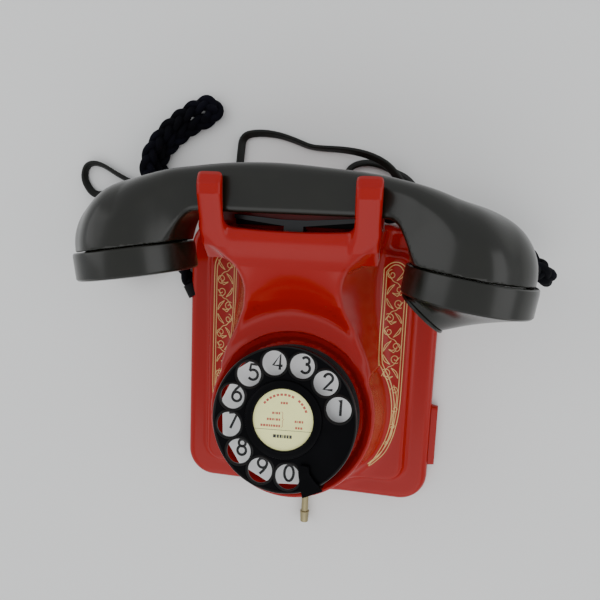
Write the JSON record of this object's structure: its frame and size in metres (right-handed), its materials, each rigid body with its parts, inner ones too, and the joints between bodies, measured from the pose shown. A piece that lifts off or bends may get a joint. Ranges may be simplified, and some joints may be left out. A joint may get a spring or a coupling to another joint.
{
  "type": "wall telephone",
  "caption": "Wall telephone with a rotary dial on a domed housing, a two-pronged cradle, a lift-off handset with a horn mouthpiece, a plaited cord and a coiled line cord.",
  "frame": {"origin": "middle of the back plate, on the wall face", "axes": "+Z out of the wall towards the user, +Y up the wall towards the handset, +X to the right of somebody facing the telephone"},
  "size_m": [0.29, 0.2671, 0.1012],
  "materials": {
    "red_shell": "glossy moulded red",
    "black_shell": "glossy moulded black",
    "black_part": "satin black",
    "steel": "plated steel",
    "brass": "turned brass",
    "winding": "varnished copper winding",
    "white_enamel": "white enamel",
    "card": "cream card",
    "clear": "clear cover",
    "capsule": "dull",
    "plait": "black braided cotton",
    "line": "dark grey flat cord"
  },
  "bodies": {
    "base": {"front_cover": "red_shell", "side_lug": "red_shell", "finger_stop": "black_shell", "dial_case": "black_part", "terminal_block": "black_part", "plait_gland": "black_part", "line_gland": "black_part", "impulse_contacts": "black_part", "hook_contacts": "black_part", "line_plug": "black_part", "back_plate": "steel", "plate_screws": "steel", "gong_posts": "steel", "gong_screws": "steel", "ringer_frame": "steel", "hook_bracket": "steel", "hook_spring": "steel", "dial_front_plate": "steel", "dial_rear_plate": "steel", "dial_pillars": "steel", "mainspring": "steel", "capacitor": "steel", "cover_stud": "brass", "gong_left": "brass", "gong_right": "brass", "terminal_screws": "brass", "governor_cup": "brass", "ringer_coils": "winding", "induction_coil": "winding", "number_plate": "white_enamel", "handset_cord": "plait", "line_cord": "line", "line_cord_coil": "line"},
    "handset": {"handset_shell": "black_shell", "ear_cap": "black_shell", "mouth_cap": "black_shell", "receiver_capsule": "capsule", "transmitter_capsule": "capsule", "handset_terminals": "brass", "handset_gland": "black_part"},
    "hook": {"hook_bar": "black_part"},
    "dial_rotor": {"finger_wheel": "black_shell", "label_card": "card", "label_window": "clear", "label_ring": "black_shell", "dial_shaft": "steel", "main_gear": "brass", "impulse_cam": "brass"},
    "governor": {"governor_spindle": "steel", "governor_weights": "brass"},
    "ringer_clapper": {"clapper": "steel"}
  },
  "joints": [
    {"name": "handset_lift", "type": "slide", "parent": "base", "child": "handset", "axis": [0, 1, 0], "range_m": [0, 0.08]},
    {"name": "hook_plunge", "type": "slide", "parent": "base", "child": "hook", "axis": [0, 1, 0], "range_m": [0, 0.005]},
    {"name": "dial_turn", "type": "hinge", "parent": "base", "child": "dial_rotor", "pos_m": [0, -0.0163, 0.0723], "axis": [0, 0.1495, 0.9888], "range_deg": [-342, 0], "stiffness_Nm_per_rad": 0.004},
    {"name": "governor_spin", "type": "hinge", "parent": "base", "child": "governor", "pos_m": [0, 0.00521, 0.06905], "axis": [0, 0.1495, 0.9888], "range_deg": [0, 1198]},
    {"name": "clapper_swing", "type": "hinge", "parent": "base", "child": "ringer_clapper", "pos_m": [0, 0.006, 0.0086], "axis": [0, 0, 1], "range_deg": [-2.5, 2.5], "stiffness_Nm_per_rad": 0.002}
  ],
  "couplings": [
    {"joint": "hook_plunge", "follows": "handset_lift", "ratio": 0.0625},
    {"joint": "governor_spin", "follows": "dial_turn", "ratio": -3.5}
  ]
}
